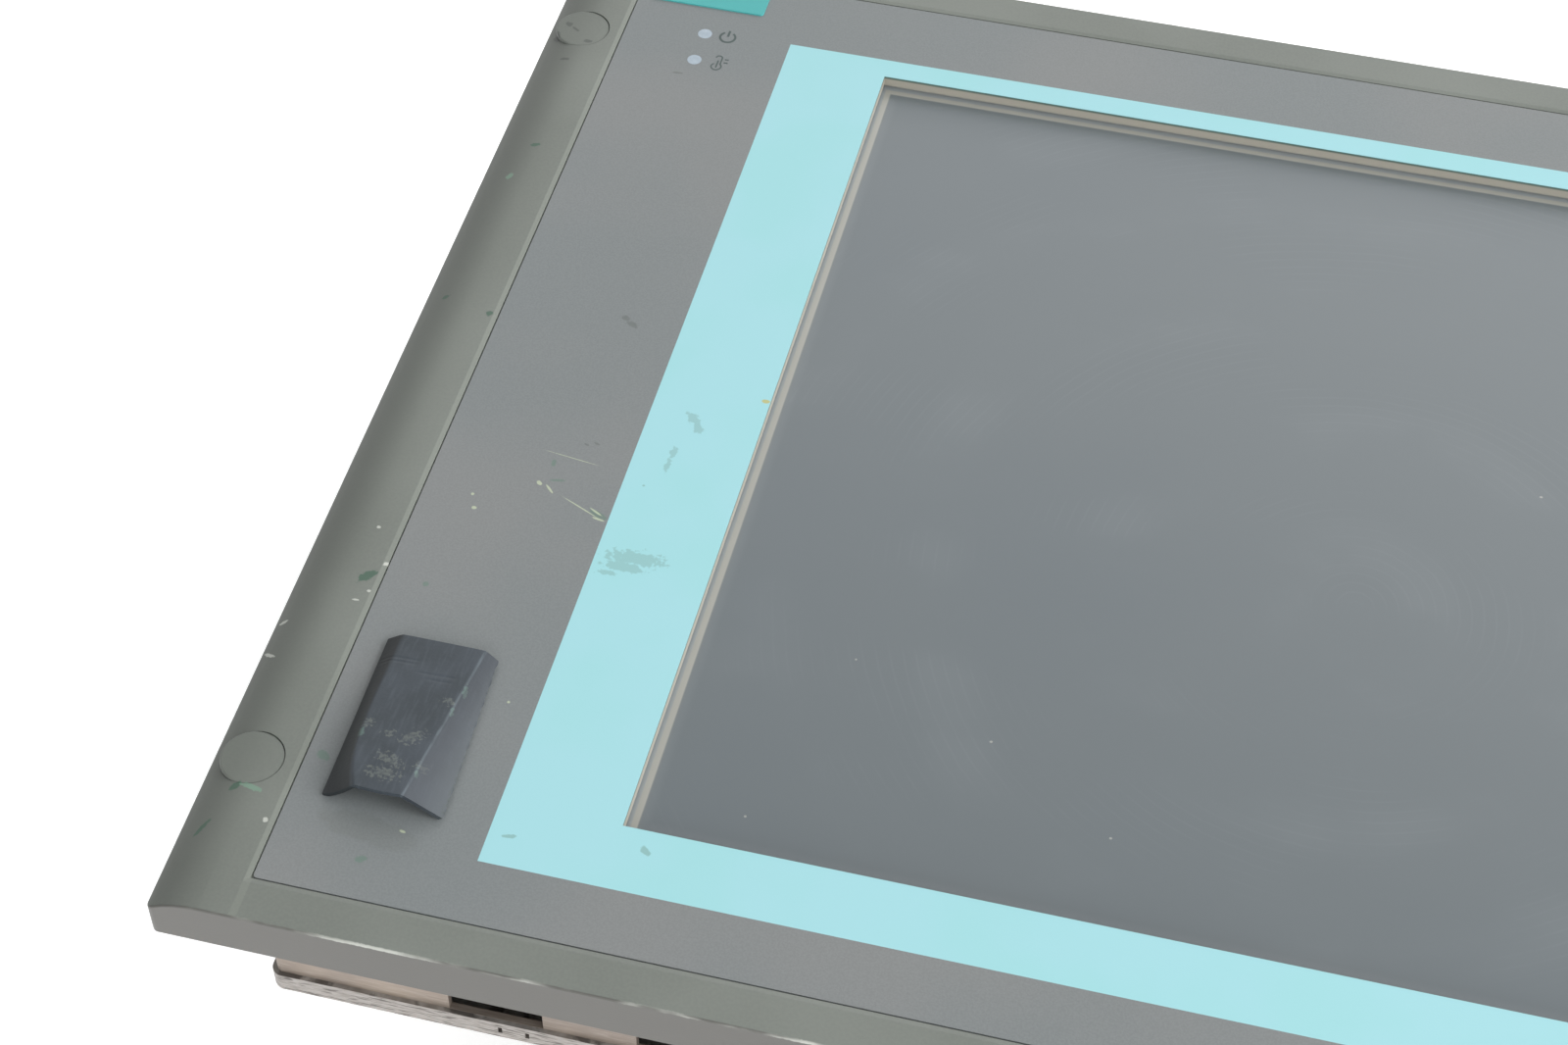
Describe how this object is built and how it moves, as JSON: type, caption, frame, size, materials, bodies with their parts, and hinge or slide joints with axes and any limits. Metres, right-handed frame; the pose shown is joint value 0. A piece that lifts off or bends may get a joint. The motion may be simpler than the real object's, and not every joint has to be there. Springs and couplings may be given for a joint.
{
  "type": "industrial touch panel computer",
  "caption": "Wide grey rack front with a turquoise band round a sunk touch display, rubber socket flap, zinc-plated housing and a vented computer unit behind.",
  "frame": {"origin": "middle of the computer unit's back, on which the panel lies", "axes": "+Z out of the front, +Y to the display's top, +X to the display's right"},
  "size_m": [0.4826, 0.3102, 0.1251],
  "materials": {
    "frame_paint": "satin grey-olive paint on cast aluminium",
    "seal_rubber": "black foam rubber",
    "plug_plastic": "matt grey plastic",
    "foil_grey": "fine textured grey polyester foil",
    "band_turquoise": "matt turquoise print",
    "lens_clear": "milky clear light guide",
    "gasket_foam": "light grey foam",
    "touch_glass": "anti-glare touch glass",
    "bare_steel": "tinned or stainless sheet",
    "cell_dark": "dark display cell, switched off",
    "guide_clear": "clear acrylic",
    "tube_white": "white phosphor tube",
    "zinc_steel": "zinc-plated sheet steel",
    "screw_steel": "zinc-plated screws",
    "board_green": "green circuit board",
    "brass": "brass or nickel-plated brass",
    "white_plastic": "white plastic",
    "flap_rubber": "blue-black soft rubber",
    "heat_sink_aluminium": "extruded aluminium",
    "black_plastic": "black plastic",
    "grey_plastic": "grey plastic",
    "disk_aluminium": "cast aluminium",
    "cable_grey": "grey ribbon cable"
  },
  "bodies": {
    "panel": {"front_frame": "frame_paint", "mounting_seal": "seal_rubber", "rack_hole_plugs": "plug_plastic", "front_foil": "foil_grey", "display_band": "band_turquoise", "name_plate": "band_turquoise", "indicator_lights": "lens_clear", "glass_gasket": "gasket_foam", "touch_glass": "touch_glass", "display_bezel": "bare_steel", "display_cell": "cell_dark", "backlight_guide": "guide_clear", "backlight_tubes": "tube_white", "display_back": "bare_steel", "display_brackets": "zinc_steel", "front_screws": "screw_steel", "inverter_board": "board_green", "front_board": "board_green", "board_spacers": "brass", "front_socket": "bare_steel", "front_socket_tongue": "white_plastic", "display_housing": "zinc_steel", "housing_back": "zinc_steel", "computer_chassis": "zinc_steel", "computer_cover": "zinc_steel", "cover_screws": "screw_steel", "computer_screws": "screw_steel", "main_board": "board_green", "board_standoffs": "brass", "processor": "bare_steel", "heat_sink": "heat_sink_aluminium", "memory_sockets": "black_plastic", "memory_modules": "board_green", "battery_holder": "black_plastic", "buffer_battery": "bare_steel", "network_sockets": "bare_steel", "usb_sockets": "bare_steel", "serial_socket": "bare_steel", "video_socket": "white_plastic", "power_inlet": "black_plastic", "inlet_blades": "brass", "power_supply": "zinc_steel", "supply_circuit": "board_green", "rocker_frame": "black_plastic", "reset_switch": "black_plastic", "earth_stud": "brass", "fan_frame": "black_plastic", "disk_cage": "zinc_steel", "card_socket": "black_plastic", "display_cable": "cable_grey", "cable_plugs": "white_plastic"},
    "flap": {"socket_flap": "flap_rubber"},
    "rotor": {"fan_rotor": "black_plastic"},
    "rocker": {"power_rocker": "black_plastic"},
    "button": {"reset_button": "grey_plastic"},
    "door": {"card_door": "zinc_steel"},
    "tray": {"disk_tray": "zinc_steel", "hard_disk": "disk_aluminium", "tray_screws": "screw_steel"}
  },
  "joints": [
    {"name": "flap_lift", "type": "hinge", "parent": "panel", "child": "flap", "pos_m": [-0.20335, -0.0813, 0.1196], "axis": [-1, 0, 0], "range_deg": [0, 100]},
    {"name": "rotor_spin", "type": "hinge", "parent": "panel", "child": "rotor", "pos_m": [-0.02, 0.1255, 0.03845], "axis": [0, 1, 0], "continuous": true},
    {"name": "rocker_rock", "type": "hinge", "parent": "panel", "child": "rocker", "pos_m": [0.134, -0.1305, 0.025], "axis": [1, 0, 0], "range_deg": [0, 16]},
    {"name": "reset_press", "type": "slide", "parent": "panel", "child": "button", "axis": [0, 1, 0], "range_m": [0, 0.0012], "stiffness_N_per_m": 400, "springref_m": -0.0008},
    {"name": "card_door_swing", "type": "hinge", "parent": "panel", "child": "door", "pos_m": [0.1502, 0.01, 0.0541], "axis": [0, 1, 0], "range_deg": [0, 95]},
    {"name": "disk_tray_slide", "type": "slide", "parent": "panel", "child": "tray", "axis": [-1, 0, 0], "range_m": [0, 0.12]}
  ]
}
